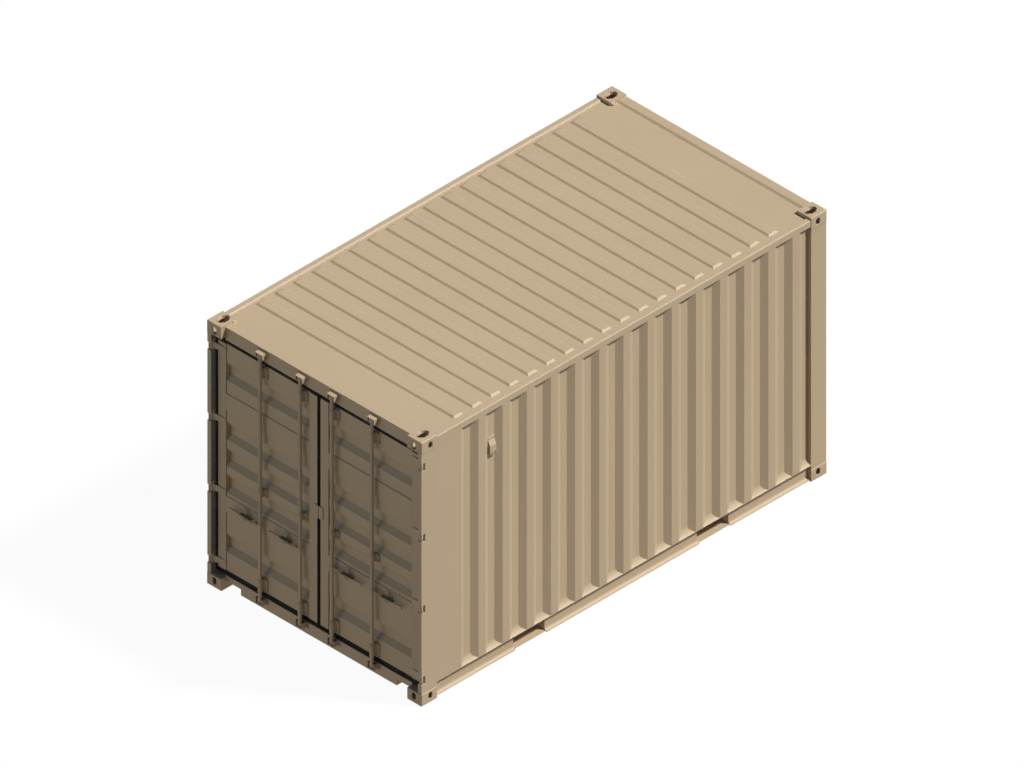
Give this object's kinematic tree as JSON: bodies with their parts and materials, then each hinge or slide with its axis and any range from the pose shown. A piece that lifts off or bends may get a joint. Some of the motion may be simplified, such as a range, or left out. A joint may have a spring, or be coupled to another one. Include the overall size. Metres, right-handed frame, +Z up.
{
  "type": "shipping container",
  "caption": "Steel shipping container with corrugated side walls, ribbed roof, corner fittings, fork pockets and two hinged end doors with lock rods.",
  "frame": {"origin": "centre of the footprint, on the ground", "axes": "+X along the length from the door end to the blank end, +Y to the left of someone facing the doors, +Z up"},
  "size_m": [4.6, 2.438, 2.591],
  "materials": {
    "paint": "semi-gloss beige paint",
    "seal": "matt black rubber",
    "timber": "oiled plywood"
  },
  "bodies": {
    "container": {"bottom_fittings": "paint", "top_fittings": "paint", "rear_post_right": "paint", "rear_post_left": "paint", "front_post_right": "paint", "front_post_left": "paint", "top_rail_right": "paint", "top_rail_left": "paint", "bottom_rail_right": "paint", "bottom_rail_left": "paint", "door_header": "paint", "door_sill": "paint", "front_header": "paint", "front_sill": "paint", "side_wall_right": "paint", "side_wall_left": "paint", "front_wall": "paint", "roof_panel": "paint", "roof_gussets": "paint", "floor_boards": "timber", "cross_members": "paint", "fork_pockets": "paint", "side_vents": "paint", "hinge_pins": "paint", "cam_keepers": "paint"},
    "door_right": {"door_frame_right": "paint", "door_panel_right": "paint", "door_seal_right": "seal", "hinge_blades_right": "paint", "rod_guides_right": "paint", "handle_catches_right": "paint", "meeting_plate_right": "paint"},
    "rod_right_outer": {"lock_rod_right_outer": "paint"},
    "handle_right_outer": {"handle_right_outer": "paint"},
    "rod_right_inner": {"lock_rod_right_inner": "paint"},
    "handle_right_inner": {"handle_right_inner": "paint"},
    "door_left": {"door_frame_left": "paint", "door_panel_left": "paint", "door_seal_left": "seal", "hinge_blades_left": "paint", "rod_guides_left": "paint", "handle_catches_left": "paint", "meeting_plate_left": "paint"},
    "rod_left_outer": {"lock_rod_left_outer": "paint"},
    "handle_left_outer": {"handle_left_outer": "paint"},
    "rod_left_inner": {"lock_rod_left_inner": "paint"},
    "handle_left_inner": {"handle_left_inner": "paint"}
  },
  "joints": [
    {"name": "door_right_swing", "type": "hinge", "parent": "container", "child": "door_right", "pos_m": [-2.28, -1.199, 1.29525], "axis": [0, 0, 1], "range_deg": [0, 260]},
    {"name": "rod_right_outer_turn", "type": "hinge", "parent": "door_right", "child": "rod_right_outer", "pos_m": [-2.278, -0.634, 1.29525], "axis": [0, 0, 1], "range_deg": [-110, 0]},
    {"name": "handle_right_outer_lift", "type": "hinge", "parent": "rod_right_outer", "child": "handle_right_outer", "pos_m": [-2.2845, -0.678, 0.84425], "axis": [1, 0, 0], "range_deg": [-30, 0]},
    {"name": "rod_right_inner_turn", "type": "hinge", "parent": "door_right", "child": "rod_right_inner", "pos_m": [-2.278, -0.18, 1.29525], "axis": [0, 0, 1], "range_deg": [-110, 0]},
    {"name": "handle_right_inner_lift", "type": "hinge", "parent": "rod_right_inner", "child": "handle_right_inner", "pos_m": [-2.2845, -0.224, 0.84425], "axis": [1, 0, 0], "range_deg": [-30, 0]},
    {"name": "door_left_swing", "type": "hinge", "parent": "container", "child": "door_left", "pos_m": [-2.28, 1.199, 1.29525], "axis": [0, 0, -1], "range_deg": [0, 260]},
    {"name": "rod_left_outer_turn", "type": "hinge", "parent": "door_left", "child": "rod_left_outer", "pos_m": [-2.278, 0.634, 1.29525], "axis": [0, 0, -1], "range_deg": [-110, 0]},
    {"name": "handle_left_outer_lift", "type": "hinge", "parent": "rod_left_outer", "child": "handle_left_outer", "pos_m": [-2.2845, 0.678, 0.84425], "axis": [-1, 0, 0], "range_deg": [-30, 0]},
    {"name": "rod_left_inner_turn", "type": "hinge", "parent": "door_left", "child": "rod_left_inner", "pos_m": [-2.278, 0.18, 1.29525], "axis": [0, 0, -1], "range_deg": [-110, 0]},
    {"name": "handle_left_inner_lift", "type": "hinge", "parent": "rod_left_inner", "child": "handle_left_inner", "pos_m": [-2.2845, 0.224, 0.84425], "axis": [-1, 0, 0], "range_deg": [-30, 0]}
  ]
}
